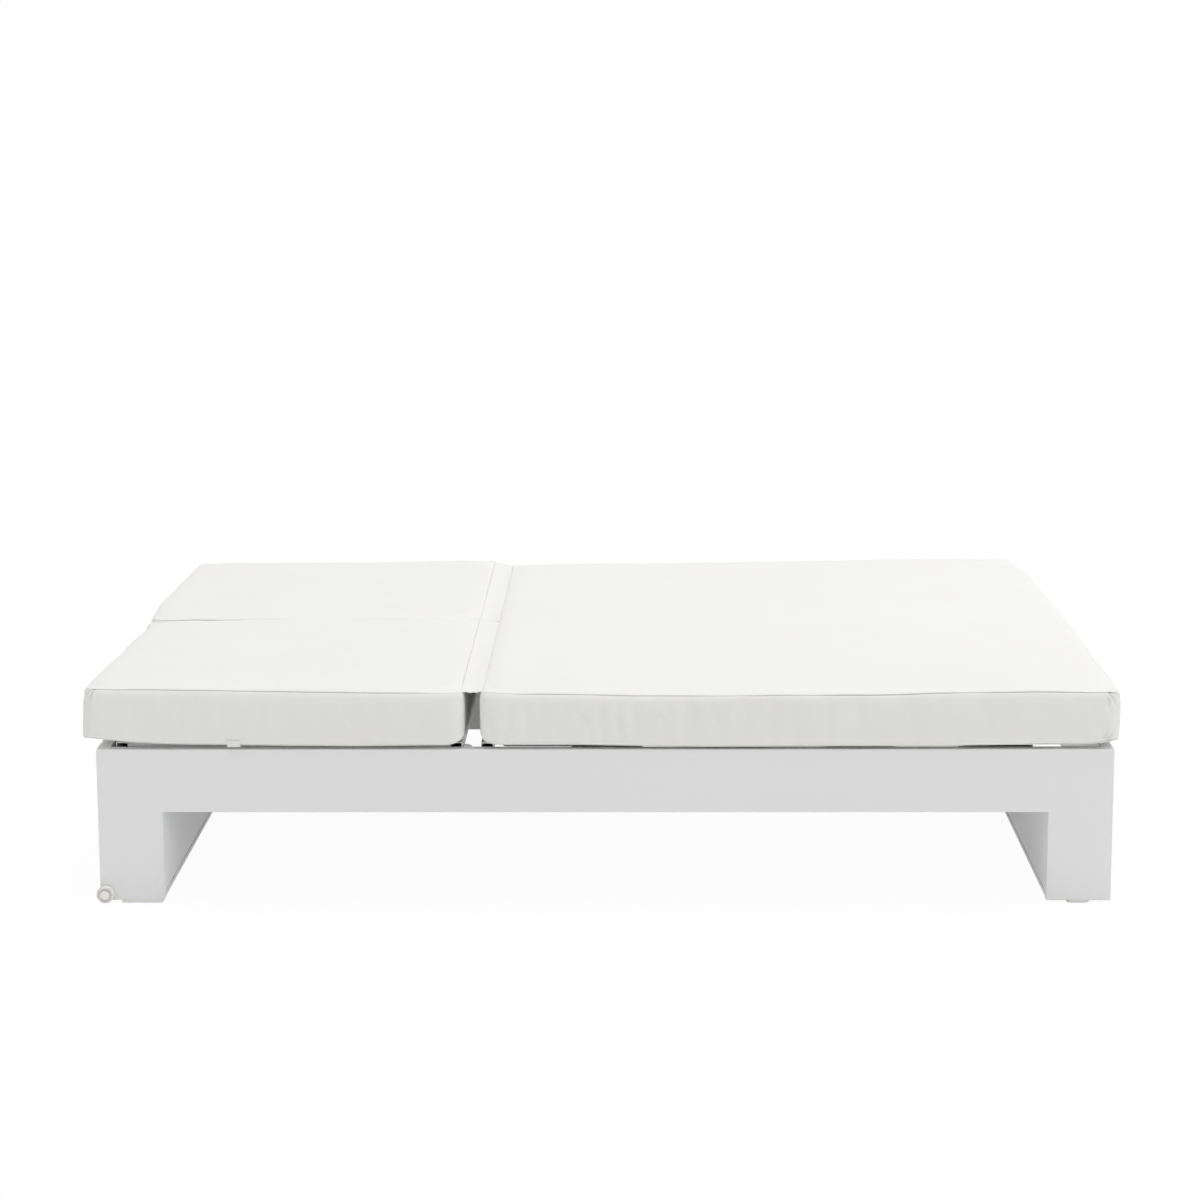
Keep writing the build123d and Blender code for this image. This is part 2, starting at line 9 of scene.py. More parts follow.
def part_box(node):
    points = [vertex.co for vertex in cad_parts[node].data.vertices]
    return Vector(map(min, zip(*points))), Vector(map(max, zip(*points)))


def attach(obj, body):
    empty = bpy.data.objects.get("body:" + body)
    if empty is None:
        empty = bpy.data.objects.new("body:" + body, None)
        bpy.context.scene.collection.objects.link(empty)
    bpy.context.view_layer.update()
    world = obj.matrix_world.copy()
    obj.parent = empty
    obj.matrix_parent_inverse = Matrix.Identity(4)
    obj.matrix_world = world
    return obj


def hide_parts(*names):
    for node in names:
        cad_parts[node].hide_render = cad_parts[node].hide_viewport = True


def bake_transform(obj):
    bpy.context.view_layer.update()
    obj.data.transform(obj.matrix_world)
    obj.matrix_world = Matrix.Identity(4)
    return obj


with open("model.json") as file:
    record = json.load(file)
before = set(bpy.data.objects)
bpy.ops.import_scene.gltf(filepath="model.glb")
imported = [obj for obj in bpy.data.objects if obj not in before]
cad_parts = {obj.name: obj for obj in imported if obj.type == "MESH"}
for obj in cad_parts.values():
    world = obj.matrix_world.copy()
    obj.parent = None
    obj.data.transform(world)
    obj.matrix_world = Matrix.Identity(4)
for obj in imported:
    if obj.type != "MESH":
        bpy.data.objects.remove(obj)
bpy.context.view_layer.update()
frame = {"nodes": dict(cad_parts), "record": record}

# Double chaise lounger: powder-coated plank frame, three boxed cushions, two fabric flaps, two strap tabs,
# two rollers. Metres, X from the head end to the foot end, Z up from the floor.

MM = 0.001
DECK_TOP = 0.320
SEAM_HEIGHT = 0.430
SIDES = (("near", -1), ("far", 1))
# How far the dressed cushions' walls lie inside the CAD cushions: at the hinge, at the free ends and sides
# (the stuffing may swell out that far) and where the two back cushions meet
BACK_HINGE_INSET = 9.5 * MM
SEAT_HINGE_INSET = 4.5 * MM
BORDER_ROOM = 3.5 * MM
SPLIT_ROOM = 0.5 * MM
# Crown of the top over its seam, radius of the upright corners, and how fast the top rises behind a border
CROWN = 4.5 * MM
CORNER_RADIUS = 15 * MM
SHOULDER = 11 * MM
SPLIT_SHOULDER = 5 * MM
# Rounding of the cloth at a seam, depth of its stitched line, and the hollow's profile: distances from the
# line as shares of the rounding, and the shares of the depth there
SEAM_ROLL = 2.0 * MM
SEAM_DEPTH = 3.4 * MM
HOLLOW_AT, HOLLOW_DEPTH = (0.42, 0.48, 0.63, 0.8), (1, 0.65, 0.2, 0)
# Cells of the cloth before it is refined once
BACK_CELL = 10 * MM
SEAT_CELL = 14 * MM
STUFFING_FRAMES = 20
TOUCHING = 1e-5

# ------------------------------------------------------------------ finishes


def linear(code):
    # sRGB hex to the linear colour that a shader socket takes
    channels = [int(code[k : k + 2], 16) / 255 for k in (1, 3, 5)]
    return (*[c / 12.92 if c <= 0.04045 else ((c + 0.055) / 1.055) ** 2.4 for c in channels], 1.0)


def add(tree, kind, settings=None, **links):
    # One node with its settings and links: a key that starts with an underscore is a setting of the node
    # itself, n0 is its first input, and two underscores stand for a space
    node = tree.nodes.new(kind)
    for key, value in (settings or {}).items():
        if isinstance(key, str) and key.startswith("_"):
            setattr(node, key[1:], value)
        else:
            node.inputs[key].default_value = value
    for key, socket in links.items():
        name = key.replace("__", " ")
        tree.links.new(socket, node.inputs[int(name[1:]) if name[0] == "n" and name[1:].isdigit() else name])
    return node


def new_finish(name):
    finish = bpy.data.materials.new(name)
    finish.use_nodes = True
    tree = finish.node_tree
    tree.nodes.clear()
    shader = add(tree, "ShaderNodeBsdfPrincipled")
    add(tree, "ShaderNodeOutputMaterial", Surface=shader.outputs[0])
    return finish, tree, shader


def two_tones(tree, low, high, factor):
    # Base colour that drifts between two close tones
    mix = add(tree, "ShaderNodeMix", {"_data_type": "RGBA", 6: linear(low), 7: linear(high)}, n0=factor)
    return mix.outputs[2]


def powder_coat():
    # Powder-coated aluminium: sprayed dry and baked, so it is opaque and satin, with a fine orange peel of
    # about 2.5 mm that softens its reflections
    finish, tree, shader = new_finish("powder_coated_aluminium")
    place = add(tree, "ShaderNodeTexCoord").outputs["Object"]
    drift = add(tree, "ShaderNodeTexNoise", {"Scale": 3.0, "Detail": 2.0}, Vector=place)
    tree.links.new(two_tones(tree, "#EFF0F0", "#F2F3F2", drift.outputs[0]), shader.inputs["Base Color"])
    shader.inputs["Roughness"].default_value = 0.36
    shader.inputs["IOR"].default_value = 1.5
    peel = add(tree, "ShaderNodeTexNoise", {"Scale": 1 / (2.5 * MM), "Detail": 1.0}, Vector=place)
    grain = add(tree, "ShaderNodeTexNoise", {"Scale": 1 / (0.5 * MM), "Detail": 0.0}, Vector=place)
    fine = add(tree, "ShaderNodeBump", {"Strength": 0.10, "Distance": 0.04 * MM}, Height=grain.outputs[0])
    soft = add(
        tree,
        "ShaderNodeBump",
        {"Strength": 0.25, "Distance": 0.06 * MM},
        Height=peel.outputs[0],
        Normal=fine.outputs[0],
    )
    tree.links.new(soft.outputs[0], shader.inputs["Normal"])
    return finish


def cushion_cloth():
    # Woven acrylic outdoor cloth: matt plain weave, dyed in the fibre. The real thread is 0.5 mm; drawn at
    # 1.1 mm so that it shows at all. Larger soft unevenness comes from the foam under it.
    finish, tree, shader = new_finish("woven_acrylic")
    uv = add(tree, "ShaderNodeUVMap", {"_uv_map": "cloth"}).outputs[0]
    place = add(tree, "ShaderNodeTexCoord").outputs["Object"]
    thread = 1.1 * MM
    waves = []
    for direction in ("X", "Y"):
        wave = add(
            tree,
            "ShaderNodeTexWave",
            {
                "_bands_direction": direction,
                "Scale": math.pi / 10 / thread,
                "Distortion": 0.6,
                "Detail Scale": 2.0,
            },
            Vector=uv,
        )
        waves.append(wave.outputs["Fac"])
    weave = add(tree, "ShaderNodeMath", {"_operation": "MULTIPLY"}, n0=waves[0], n1=waves[1])
    drift = add(tree, "ShaderNodeTexNoise", {"Scale": 6.0, "Detail": 3.0}, Vector=place)
    plain = two_tones(tree, "#F2F1EF", "#F4F4F2", drift.outputs[0])
    # Painted shade in the seams: where the stitched line sinks, the colour turns towards a grey, which draws
    # it as a fine grey line
    seam_shade_amount = add(tree, "ShaderNodeAttribute", {"_attribute_name": "seam_shade"})
    seam_shade_grey = {"_data_type": "RGBA", 7: linear("#B8B8B2")}
    shaded_seam_colour = add(tree, "ShaderNodeMix", seam_shade_grey, n0=seam_shade_amount.outputs["Fac"], n6=plain)
    tree.links.new(shaded_seam_colour.outputs[2], shader.inputs["Base Color"])
    shader.inputs["Roughness"].default_value = 0.82
    shader.inputs["Sheen Weight"].default_value = 0.12
    shader.inputs["Sheen Roughness"].default_value = 0.5
    shader.inputs["Specular IOR Level"].default_value = 0.35
    ripple = add(tree, "ShaderNodeTexNoise", {"Scale": 1 / (26 * MM), "Detail": 2.0}, Vector=place)
    cloth = add(tree, "ShaderNodeBump", {"Strength": 0.35, "Distance": 0.15 * MM}, Height=weave.outputs[0])
    foam = add(
        tree,
        "ShaderNodeBump",
        {"Strength": 0.18, "Distance": 0.6 * MM},
        Height=ripple.outputs[0],
        Normal=cloth.outputs[0],
    )
    tree.links.new(foam.outputs[0], shader.inputs["Normal"])
    return finish


def tape_cloth():
    # Woven polyester tape for the tabs: fine ribs across it, 1.5 mm apart
    finish, tree, shader = new_finish("woven_polyester_tape")
    place = add(tree, "ShaderNodeTexCoord").outputs["Object"]
    ribs = add(
        tree,
        "ShaderNodeTexWave",
        {"_bands_direction": "Z", "Scale": math.pi / 10 / (1.5 * MM), "Distortion": 0.2},
        Vector=place,
    )
    tree.links.new(two_tones(tree, "#EBEBE8", "#F3F3F0", ribs.outputs["Fac"]), shader.inputs["Base Color"])
    shader.inputs["Roughness"].default_value = 0.7
    bump = add(tree, "ShaderNodeBump", {"Strength": 0.5, "Distance": 0.25 * MM}, Height=ribs.outputs["Fac"])
    tree.links.new(bump.outputs[0], shader.inputs["Normal"])
    return finish


def moulded_plastic(name, low, high, rough):
    # Injection-moulded polyamide: slightly milky, satin, with a faint flow mottle
    finish, tree, shader = new_finish(name)
    place = add(tree, "ShaderNodeTexCoord").outputs["Object"]
    flow = add(tree, "ShaderNodeTexNoise", {"Scale": 90.0, "Detail": 2.0}, Vector=place)
    tree.links.new(two_tones(tree, low, high, flow.outputs[0]), shader.inputs["Base Color"])
    shader.inputs["Roughness"].default_value = rough
    shader.inputs["IOR"].default_value = 1.53
    shader.inputs["Subsurface Weight"].default_value = 0.08
    shader.inputs["Subsurface Radius"].default_value = (0.003, 0.003, 0.002)
    grain = add(tree, "ShaderNodeTexNoise", {"Scale": 1 / (0.8 * MM), "Detail": 1.0}, Vector=place)
    bump = add(tree, "ShaderNodeBump", {"Strength": 0.12, "Distance": 0.05 * MM}, Height=grain.outputs[0])
    tree.links.new(bump.outputs[0], shader.inputs["Normal"])
    return finish


def plated_steel(name, low, high, rough):
    # Plated steel: a thin metal skin, brushed by turning, a little uneven in gloss
    finish, tree, shader = new_finish(name)
    place = add(tree, "ShaderNodeTexCoord").outputs["Object"]
    spots = add(tree, "ShaderNodeTexNoise", {"Scale": 1 / (3 * MM), "Detail": 3.0}, Vector=place)
    tree.links.new(two_tones(tree, low, high, spots.outputs[0]), shader.inputs["Base Color"])
    shader.inputs["Metallic"].default_value = 1.0
    shader.inputs["Roughness"].default_value = rough
    bump = add(tree, "ShaderNodeBump", {"Strength": 0.15, "Distance": 0.05 * MM}, Height=spots.outputs[0])
    tree.links.new(bump.outputs[0], shader.inputs["Normal"])
    return finish


FINISHES = {
    "powder_coat": powder_coat(),
    "cushion_fabric": cushion_cloth(),
    "fabric_tape": tape_cloth(),
    "roller_plastic": moulded_plastic("moulded_polyamide", "#E8E7E3", "#EEEDEA", 0.38),
    "foot_plastic": moulded_plastic("moulded_polyethylene", "#ECECE7", "#F1F1ED", 0.5),
    "plated_steel": plated_steel("zinc_plated_steel", "#B9BBBD", "#C9CBCC", 0.34),
}
for part in frame["record"]["subparts"]:
    node = frame["nodes"][part["node"]]
    node.data.materials.clear()
    node.data.materials.append(FINISHES[part["material_slot"]])
# The roller bolts' domed heads are seen from outside and are polished brighter than the hidden fasteners
bright_heads = plated_steel("bright_plated_steel", "#DEDDDA", "#E6E5E2", 0.28)
frame["nodes"]["wheel_bolts"].data.materials[0] = bright_heads

# ------------------------------------------------------------------ modelling helpers


def deselect_all():
    bpy.ops.object.select_all(action="DESELECT")


def apply_place():
    bpy.ops.object.transform_apply(location=True, rotation=True, scale=True)


def finish_modifiers(piece):
    for modifier in list(piece.modifiers):
        bpy.ops.object.modifier_apply(modifier=modifier.name)


def points(piece):
    co = np.empty(len(piece.data.vertices) * 3)
    piece.data.vertices.foreach_get("co", co)
    return co.reshape(-1, 3)


def set_points(piece, co):
    piece.data.vertices.foreach_set("co", co.ravel())
    piece.data.update()


def normals(piece):
    n = np.empty(len(piece.data.vertices) * 3)
    piece.data.vertices.foreach_get("normal", n)
    return n.reshape(-1, 3)


def select_edges(piece, wanted):
    # Edge selection by a mask, from object mode
    bpy.context.tool_settings.mesh_select_mode = (False, True, False)
    ends = edge_ends(piece)
    touched = np.zeros(len(piece.data.vertices), bool)
    touched[ends[wanted].ravel()] = True
    piece.data.edges.foreach_set("select", wanted)
    piece.data.vertices.foreach_set("select", touched)
    piece.data.polygons.foreach_set("select", np.zeros(len(piece.data.polygons), bool))
    bpy.ops.object.mode_set(mode="EDIT")


def edge_ends(piece):
    ends = np.empty(len(piece.data.edges) * 2, int)
    piece.data.edges.foreach_get("vertices", ends)
    return ends.reshape(-1, 2)


def cut_along(piece, axis, pieces_wanted):
    # Cuts all edges that run along one axis into that many lengths, in halves first where there are many
    most_at_once = 90
    while pieces_wanted > 1:
        halve = pieces_wanted > most_at_once
        cuts = 1 if halve else pieces_wanted - 1
        co = points(piece)
        ends = edge_ends(piece)
        step = np.abs(co[ends[:, 0]] - co[ends[:, 1]])
        select_edges(piece, step.argmax(axis=1) == axis)
        bpy.ops.mesh.subdivide(number_cuts=cuts)
        bpy.ops.object.mode_set(mode="OBJECT")
        pieces_wanted = math.ceil(pieces_wanted / 2) if halve else 1


def ease(t):
    t = np.clip(t, 0, 1)
    return t * t * (3 - 2 * t)


def ripples(co, scale, seed):
    # Smooth noise at each point: Blender's own stays within about 0.6, so it is stretched to about -1 to 1
    offset = Vector((seed * 7.3, seed * 3.1, seed * 5.7))
    return np.array([noise.noise(Vector(p) * scale + offset) for p in co]) * 1.6


# ------------------------------------------------------------------ cushions


def lie(table, across, along):
    # Height of a resting cushion over its plain shape, from a few heights across and along it, in millimetres
    grid = np.array(table, float)
    rows, columns = grid.shape
    a = np.clip(across, 0, 1) * (rows - 1)
    b = np.clip(along, 0, 1) * (columns - 1)
    i = np.clip(a.astype(int), 0, rows - 2)
    j = np.clip(b.astype(int), 0, columns - 2)
    s, t = ease(a - i), ease(b - j)
    near = grid[i, j] * (1 - t) + grid[i, j + 1] * t
    far = grid[i + 1, j] * (1 - t) + grid[i + 1, j + 1] * t
    return (near * (1 - s) + far * s) * MM


def edge_offsets(offsets, across):
    # How far an end edge lies inside its plain line, from a few millimetre values at equal steps across it
    return np.interp(across, np.linspace(0, 1, len(offsets)), offsets) * MM


def cushion_block(name, low, high, cell, corner):
    # A box cut into cells, with rounded upright corners. Top and bottom seams are marked on its edges.
    size = high - low
    deselect_all()
    bpy.ops.mesh.primitive_cube_add(size=1, location=(low + high) / 2)
    block = bpy.context.object
    block.name = block.data.name = name
    block.scale = size
    apply_place()
    for axis in range(3):
        cut_along(block, axis, round(size[axis] / cell))
    co = points(block)
    ends = edge_ends(block)
    middle = np.array((low + high) / 2)
    half = np.array(size) / 2
    at_side = np.any(np.abs(np.abs(co[:, :2] - middle[:2]) - half[:2]) < TOUCHING, axis=1)
    for level in (low.z, high.z):
        ring = at_side & (np.abs(co[:, 2] - level) < TOUCHING)
        flags = ring[ends[:, 0]] & ring[ends[:, 1]]
        marked = np.empty(len(ends), bool)
        block.data.edges.foreach_get("use_seam", marked)
        block.data.edges.foreach_set("use_seam", marked | flags)
    lay_cloth(block)
    # The square corners are pushed in onto an arc
    plan = co[:, :2] - middle[:2]
    deep = (np.abs(plan) - (half[:2] - corner)) / corner
    in_corner = np.all(deep > 0, axis=1)
    spread = deep[in_corner]
    turned = spread * (spread.max(axis=1) / np.hypot(*spread.T))[:, None]
    plan[in_corner] = np.sign(plan[in_corner]) * (half[:2] - corner + turned * corner)
    co[:, :2] = middle[:2] + plan
    set_points(block, co)
    return block


def lay_cloth(block):
    # Cloth map in metres on each panel, taken while the block is still square
    mesh = block.data
    layer = mesh.uv_layers.new(name="cloth")
    co = points(block)
    corners = np.empty(len(mesh.loops), int)
    mesh.loops.foreach_get("vertex_index", corners)
    starts = np.empty(len(mesh.polygons), int)
    mesh.polygons.foreach_get("loop_start", starts)
    facing = np.empty(len(mesh.polygons) * 3)
    mesh.polygons.foreach_get("normal", facing)
    axis = np.abs(facing.reshape(-1, 3)).argmax(axis=1)
    per_loop = np.repeat(axis, np.diff(np.append(starts, len(corners))))
    at = co[corners]
    sideways = np.where(per_loop == 0, at[:, 1], at[:, 0])
    upwards = np.where(per_loop == 2, at[:, 1], at[:, 2])
    uv = np.stack([sideways, upwards], axis=1)
    layer.data.foreach_set("uv", uv.ravel())


def stuff(block, low, high, shoulders, hinge_end):
    # Cloth under pressure: the seams are held, the panels swell, and no point goes further than foam lets it
    near_wall = 20 * MM
    rest = points(block)
    held = block.vertex_groups.new(name="held")
    ends = edge_ends(block)
    marked = np.empty(len(ends), bool)
    block.data.edges.foreach_get("use_seam", marked)
    held.add([int(k) for k in np.unique(ends[marked])], 0.9, "REPLACE")
    cloth = block.modifiers.new("stuffing", "CLOTH")
    cloth.settings.quality = 5
    cloth.settings.mass = 0.25
    cloth.settings.tension_stiffness = 20
    cloth.settings.compression_stiffness = 20
    cloth.settings.bending_stiffness = 0.6
    cloth.settings.shrink_min = -0.012
    cloth.settings.use_pressure = True
    cloth.settings.uniform_pressure_force = 4
    cloth.settings.vertex_group_mass = "held"
    cloth.settings.effector_weights.gravity = 0
    cloth.point_cache.frame_start = 1
    cloth.point_cache.frame_end = STUFFING_FRAMES
    for tick in range(1, STUFFING_FRAMES + 1):
        bpy.context.scene.frame_set(tick)
    finish_modifiers(block)
    bpy.context.scene.frame_set(1)
    moved = points(block) - rest
    to_sides = (rest[:, 0] - low.x, high.x - rest[:, 0], rest[:, 1] - low.y, high.y - rest[:, 1])
    rises = [1 - np.exp(-np.clip(gap, 0, None) / shoulder) for gap, shoulder in zip(to_sides, shoulders)]
    crown = CROWN * np.minimum.reduce(rises)
    bulge = np.sin(np.pi * np.clip((rest[:, 2] - low.z) / (high.z - low.z), 0, 1)) ** 0.6
    swell = BORDER_ROOM * bulge
    # The borders that face each other at the split hardly swell, those at the hinge a little
    tight = np.ones(len(rest))
    for side in (2, 3):
        if shoulders[side] == SPLIT_SHOULDER:
            tight[to_sides[side] < near_wall] = 0.1
    at_hinge = to_sides[1 if hinge_end > 0 else 0] < near_wall
    room = np.stack([swell * np.where(at_hinge, 0.3, 0.6), swell * tight, crown], axis=1) + 1e-6
    moved = room * np.tanh(moved / room)
    moved[:, 2] = np.where(rest[:, 2] - low.z < 1e-4, 0, moved[:, 2])
    set_points(block, rest + moved)
    block.vertex_groups.clear()


def subdivide_once(piece):
    finer = piece.modifiers.new("finer", "SUBSURF")
    finer.levels = finer.render_levels = 1
    finer.boundary_smooth = "PRESERVE_CORNERS"
    finish_modifiers(piece)


def roll_seams(piece, seed, flap_x):
    # Rounds the cloth over both seams and sinks the stitched line between the two rolls, here deeper, there
    # less. Painted shade goes into the stitched line, and beside the flap that painted shade is kept faint
    marked = np.empty(len(piece.data.edges), bool)
    piece.data.edges.foreach_get("use_seam", marked)
    ends = edge_ends(piece)
    seam_points = points(piece)[np.unique(ends[marked])]
    tree = kdtree.KDTree(len(seam_points))
    for index, spot in enumerate(seam_points):
        tree.insert(spot, index)
    tree.balance()
    select_edges(piece, marked)
    bpy.ops.mesh.bevel(offset=SEAM_ROLL, segments=8, affect="EDGES", clamp_overlap=False)
    bpy.ops.object.mode_set(mode="OBJECT")
    co = points(piece)
    facing = normals(piece)
    seam_levels = seam_points[:, 2].min(), seam_points[:, 2].max()
    off_level = np.minimum(*[np.abs(co[:, 2] - level) for level in seam_levels])
    stitched = np.flatnonzero(off_level < SEAM_ROLL + 6 * MM)
    off_line = np.array([tree.find(co[k])[2] for k in stitched]) / SEAM_ROLL
    stitched, off_line = stitched[off_line < HOLLOW_AT[-1]], off_line[off_line < HOLLOW_AT[-1]]
    hollow = np.interp(off_line, HOLLOW_AT, HOLLOW_DEPTH)
    hollow *= 0.72 + 0.45 * ripples(co[stitched], 9.0, seed)
    co[stitched] -= facing[stitched] * SEAM_DEPTH * hollow[:, None]
    set_points(piece, co)
    # Share of the painted seam shade, for the cloth's material; beside the flap it is faint
    shade = np.zeros(len(co))
    beside_flap = np.exp(-(((co[stitched, 0] - flap_x) / (90 * MM)) ** 2))
    shade[stitched] = np.clip(hollow * 1.3 * (1 - 0.82 * beside_flap), 0, 1)
    piece.data.attributes.new("seam_shade", "FLOAT", "POINT").data.foreach_set("value", shade)


def corner_folds(co, facing, fold):
    # Small folds that fan out over the border from the place where a seam turns its corner. A fold has the
    # fan's start, +1 or -1 towards the corner along X, +1 or -1 for up or down, the folds' depth and reach in
    # millimetres, and their number
    start, toward, upward, strength, reach, count = fold
    rel = co - np.array(start)
    along = toward * rel[:, 0] + np.abs(rel[:, 1])
    down = rel[:, 2] * upward
    distance = np.sqrt(along**2 + down**2) / MM
    angle = np.arctan2(down, along)
    fade = np.exp(-((distance / reach) ** 2)) * ease(distance / (0.5 * reach)) * ease((along + 0.006) / 0.012)
    waves = np.sin(angle * count * 2 + 0.4 * np.sin(distance / 6))
    on_border = (np.abs(facing[:, 2]) < 0.8)[:, None]
    return facing * (waves * fade * strength * MM)[:, None] * on_border


def refine_near(piece, spots, reach):
    # Finer cells on the border within reach of some of its corners, where small folds go
    co = points(piece)
    close = np.zeros(len(co), bool)
    for spot in spots:
        close |= np.sum((co - np.array(spot)) ** 2, axis=1) < reach**2
    ends = edge_ends(piece)
    select_edges(piece, close[ends[:, 0]] & close[ends[:, 1]])
    bpy.ops.mesh.subdivide(number_cuts=2)
    bpy.ops.object.mode_set(mode="OBJECT")


def round_in(co, low, high):
    # The cloth rounds in towards the top seam: every point near a wall leans with it
    from_top = np.clip((high.z - co[:, 2]) / MM, 0, None)
    lean = -5.3 * np.exp(-from_top / 6.2)
    for axis in (0, 1):
        for wall, way in ((low[axis], -1), (high[axis], 1)):
            from_wall = np.clip(way * (wall - co[:, axis]) / MM, 0, None)
            co[:, axis] += way * lean * np.exp(-from_wall / 12) * MM


def border_wrinkles(co, facing, form):
    # Soft upright wrinkles, of two widths, with one zone where they are deeper
    perimeter = np.where(np.abs(facing[:, 0]) > np.abs(facing[:, 1]), co[:, 1], co[:, 0])
    which_side = np.sign(facing[:, 0]) * 0.5 + np.sign(facing[:, 1])
    strips = np.stack([perimeter, co[:, 2] * 0.16, which_side], axis=1)
    wide = ripples(strips, 1 / (26 * MM), form["seed"])
    narrow = ripples(strips, 1 / (14 * MM), form["seed"] + 1)
    zone_x, zone_reach, zone_strength = form["wrinkles"]
    zone = 0.6 + zone_strength * np.exp(-(((co[:, 0] - zone_x) / zone_reach) ** 2))
    return (wide + 0.5 * narrow) * zone


def lift_and_hang(co, height, form):
    # Corners that lift off the deck, the hem that hangs over the rail's edge and sags between two slats
    for x, y, rise, reach in form["lifts"]:
        away = np.sqrt((co[:, 0] - x) ** 2 + (co[:, 1] - y) ** 2)
        co[:, 2] += rise * MM * np.exp(-((away / (reach * MM)) ** 1.5)) * (1 - height) ** 0.7
    low_part = np.clip(1 - height * 3, 0, 1)
    # Along Y: where the hem hangs free outside, and where the cloth comes off the rail's top and inner edge
    hem_line, rail_top, rail_edge = 0.742, 0.738, 0.722
    ramp = 12 * MM
    off_centre = np.abs(co[:, 1])
    hem_x, hem_drop = np.array(form["hem"]).T
    at_edge = ease((off_centre - hem_line) / ramp)
    co[:, 2] -= np.interp(co[:, 0], hem_x, hem_drop) * MM * at_edge * low_part
    for start, end, drop in form["sags"]:
        span = ease((co[:, 0] - start) / ramp) * ease((end - co[:, 0]) / ramp)
        behind_rail = ease((rail_top - off_centre) / 0.018) + ease((rail_edge - off_centre) / 0.02)
        co[:, 2] -= drop * MM * span * behind_rail * low_part


def make_cushion(name, node, body, cell, form):
    # One boxed cushion from its CAD solid's box to its finished cloth
    hinge_end, split = form["hinge_end"], form["split"]
    low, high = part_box(node)
    high.z = SEAM_HEIGHT
    low.x += BORDER_ROOM if hinge_end > 0 else SEAT_HINGE_INSET
    high.x -= BACK_HINGE_INSET if hinge_end > 0 else BORDER_ROOM
    low.y += SPLIT_ROOM if split < 0 else BORDER_ROOM
    high.y -= SPLIT_ROOM if split > 0 else BORDER_ROOM
    shoulders = [SHOULDER] * 4
    if split:
        shoulders[2 if split < 0 else 3] = SPLIT_SHOULDER
    block = cushion_block(name, low, high, cell, CORNER_RADIUS)
    stuff(block, low, high, shoulders, hinge_end)
    subdivide_once(block)
    hinge_x = high.x if hinge_end > 0 else low.x
    roll_seams(block, form["seed"], hinge_x)
    refine_near(block, [fold[0] for fold in form["folds"]], 60 * MM)
    co = points(block)
    facing = normals(block)
    height = np.clip((co[:, 2] - low.z) / (high.z - low.z), 0, 1)
    across = (co[:, 1] - low.y) / (high.y - low.y)
    along = (co[:, 0] - low.x) / (high.x - low.x)
    outward = facing * np.array([1, 1, 0])
    border = np.abs(facing[:, 2]) < 0.75
    round_in(co, low, high)
    # The turned-in hem stands a little proud at the foot
    from_foot = np.clip((co[:, 2] - low.z) / MM, 0, None)
    hem = 0.0125 * np.clip(14 - from_foot, 0, 12) ** 2
    co += outward * (hem * border * MM)[:, None]
    wrinkles = border_wrinkles(co, facing, form) * border * np.sin(np.pi * height) ** 1.2
    co += outward * (wrinkles * MM)[:, None]
    # Slow unevenness of the top
    slow = ripples(co, 5.0, form["seed"] + 2) * 0.9 * MM + ripples(co, 16.0, form["seed"] + 3) * 0.35 * MM
    co[:, 2] += slow * ease((co[:, 2] - low.z - 0.09) / 0.02)
    for fold in form["folds"]:
        co += corner_folds(co, facing, fold)
    # Bottom edge, rounded up at the hinge end
    radius = 40 * MM
    t = np.clip(1 - np.abs(co[:, 0] - hinge_x) / radius, 0, 1)
    above = np.clip(1 - (co[:, 2] - low.z) / (3 * radius), 0, 1)
    near_side = ease((np.abs(across - 0.5) * 2 - 0.90) / 0.08)
    co[:, 2] += 0.55 * radius * (1 - np.sqrt(1 - t * t)) * above * (0.4 + 0.6 * near_side)
    # Lie of the top, and the free end's outline, which wanders as soft goods do
    co[:, 2] += lie(form["lies"], across, along) * height**1.5
    to_free = along if hinge_end > 0 else 1 - along
    drawn = edge_offsets(form["outline"], across) + form["tilt"] * MM * (2 * height - 1)
    co[:, 0] += hinge_end * drawn * ease(1 - to_free / 0.4)
    lift_and_hang(co, height, form)
    set_points(block, co)
    block.data.materials.clear()
    block.data.materials.append(FINISHES["cushion_fabric"])
    deselect_all()
    block.select_set(True)
    bpy.context.view_layer.objects.active = block
    bpy.ops.object.shade_smooth()
    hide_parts(node)
    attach(block, body)
    return block


near_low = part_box("near_back_cushion")[0]
seat_low, seat_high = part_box("seat_cushion")

# Heights of each top over its plain shape in millimetres: rows from the near to the far edge, columns along X
NEAR_LIES = (
    (4.5, 3.2, 1.8, -0.7, -2.3, -3.5, -2.8),
    (0, -0.5, -1, -1.2, -1.5, -1.2, -1),
    (-3, -1.5, 0, 0.5, 1, 1.2, 1.5),
)
FAR_LIES = ((0, -1.5, -1, -0.5), (0, 0, 1, 1), (-1.5, -1.5, 0, 5))
SEAT_LIES = (
    (-2, -5.8, -9, -9, -8.2, -7.7, -3.3, -1.8, -2.3),
    (-1, -1, -1, -0.5, 0, 1, 2, 2.5, 3),
    (-4, -4, -4, -2, 0, 2.5, 5, 6.5, 8),
)

